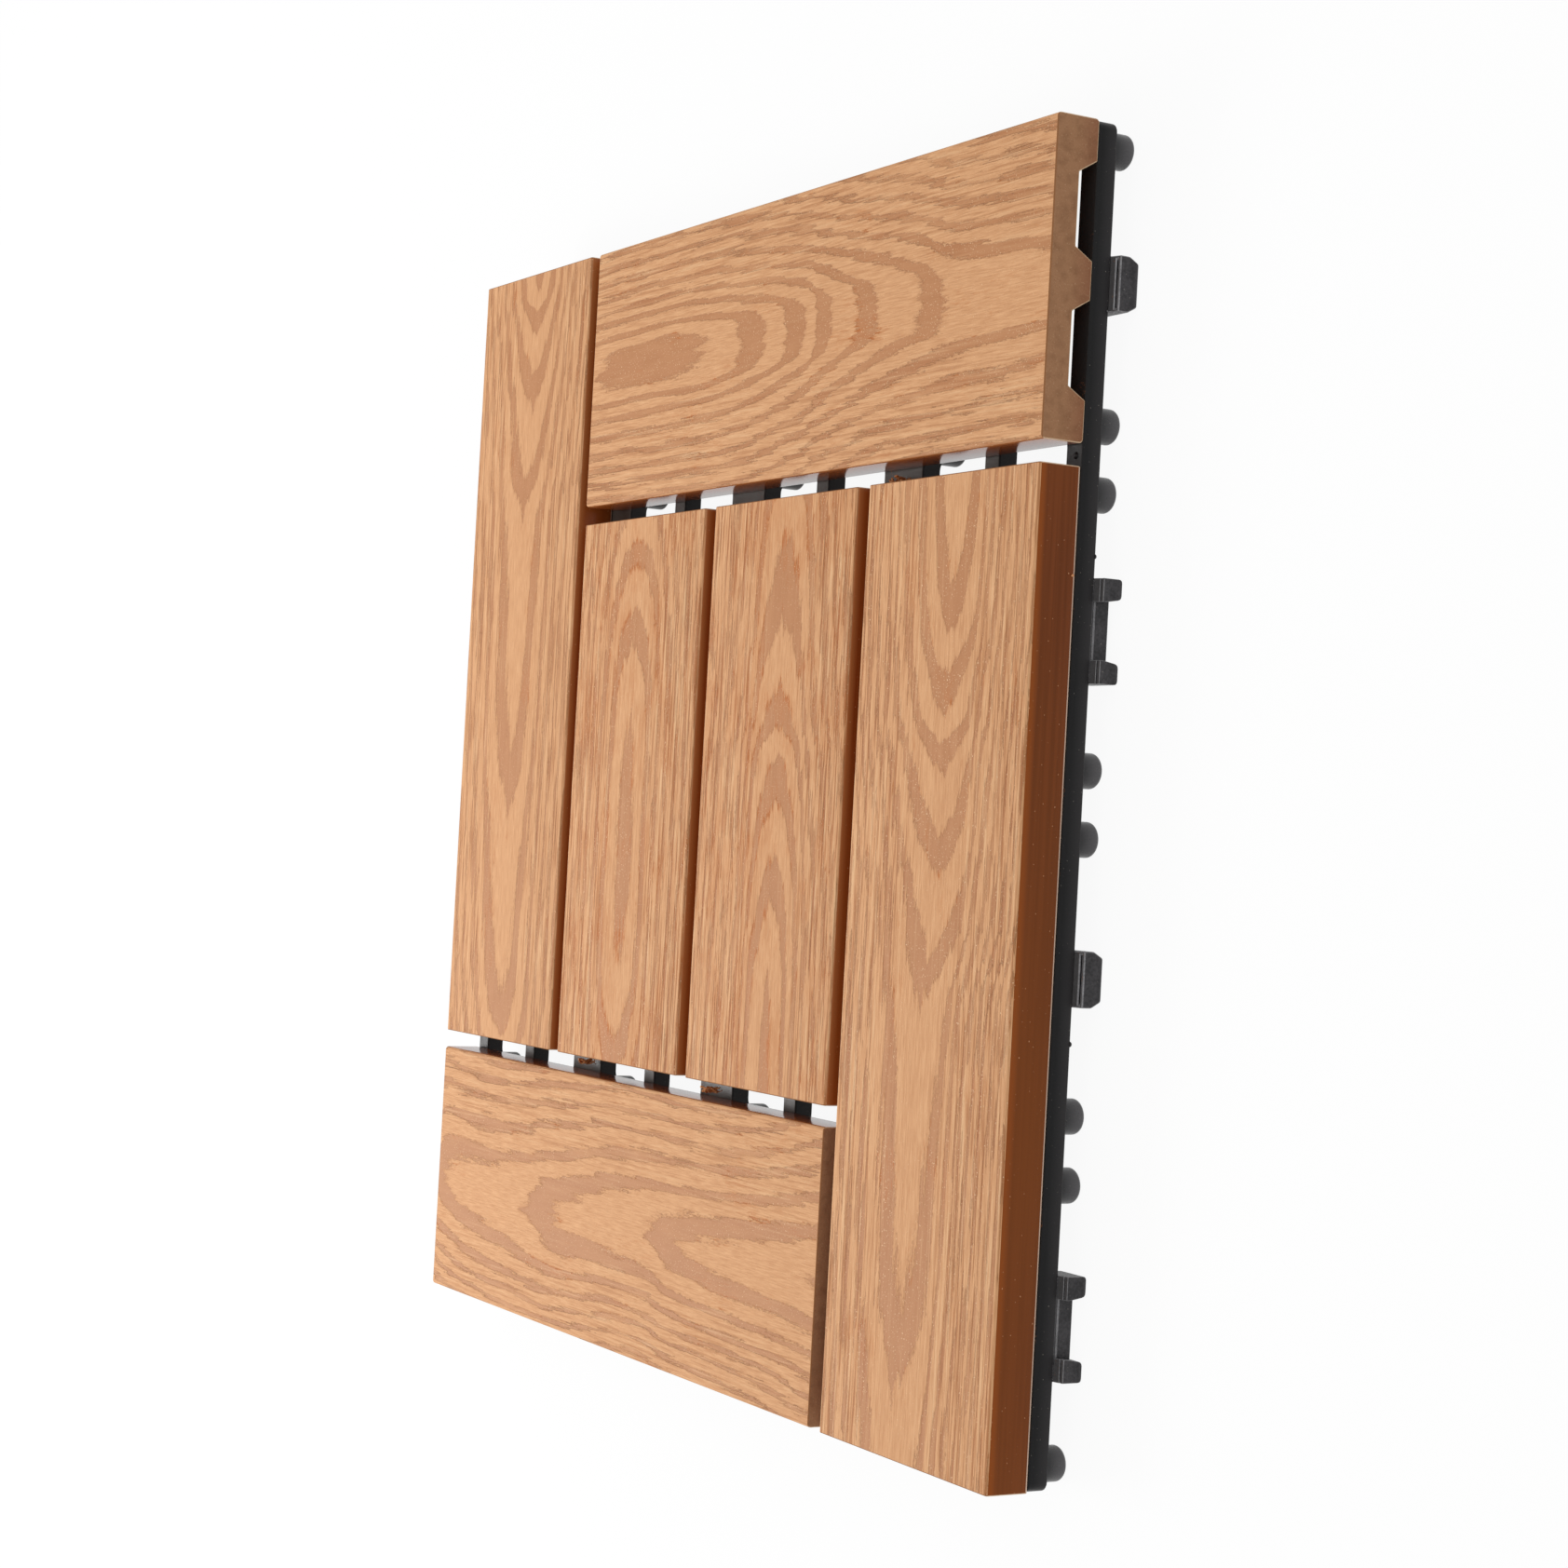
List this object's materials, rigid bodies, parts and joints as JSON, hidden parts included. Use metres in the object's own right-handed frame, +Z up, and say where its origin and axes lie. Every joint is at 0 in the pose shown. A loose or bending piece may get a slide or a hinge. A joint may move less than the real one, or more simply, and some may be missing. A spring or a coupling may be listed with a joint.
{
  "type": "interlocking deck tile",
  "caption": "Square deck tile of grooved wood-plastic planks in a pinwheel, screwed to a plastic grid on round feet, with tongues and sockets that join tiles.",
  "frame": {"origin": "under the middle of the tile, on the floor that its feet stand on", "axes": "+Z up through the walking face, X and Y along the tile's edges; the planks in the middle and at left and right run along Y, those at the back and front along X"},
  "size_m": [0.305, 0.305, 0.022],
  "materials": {
    "plank": "co-extruded wood-plastic composite, brushed and embossed with wood grain",
    "base": "injection-moulded polypropylene, black",
    "screw": "zinc-plated steel"
  },
  "bodies": {
    "root": {"long_plank_left": "plank", "long_plank_back": "plank", "long_plank_right": "plank", "long_plank_front": "plank", "centre_plank_left": "plank", "centre_plank_right": "plank", "base_grid": "base", "plank_screws": "screw"}
  },
  "joints": []
}
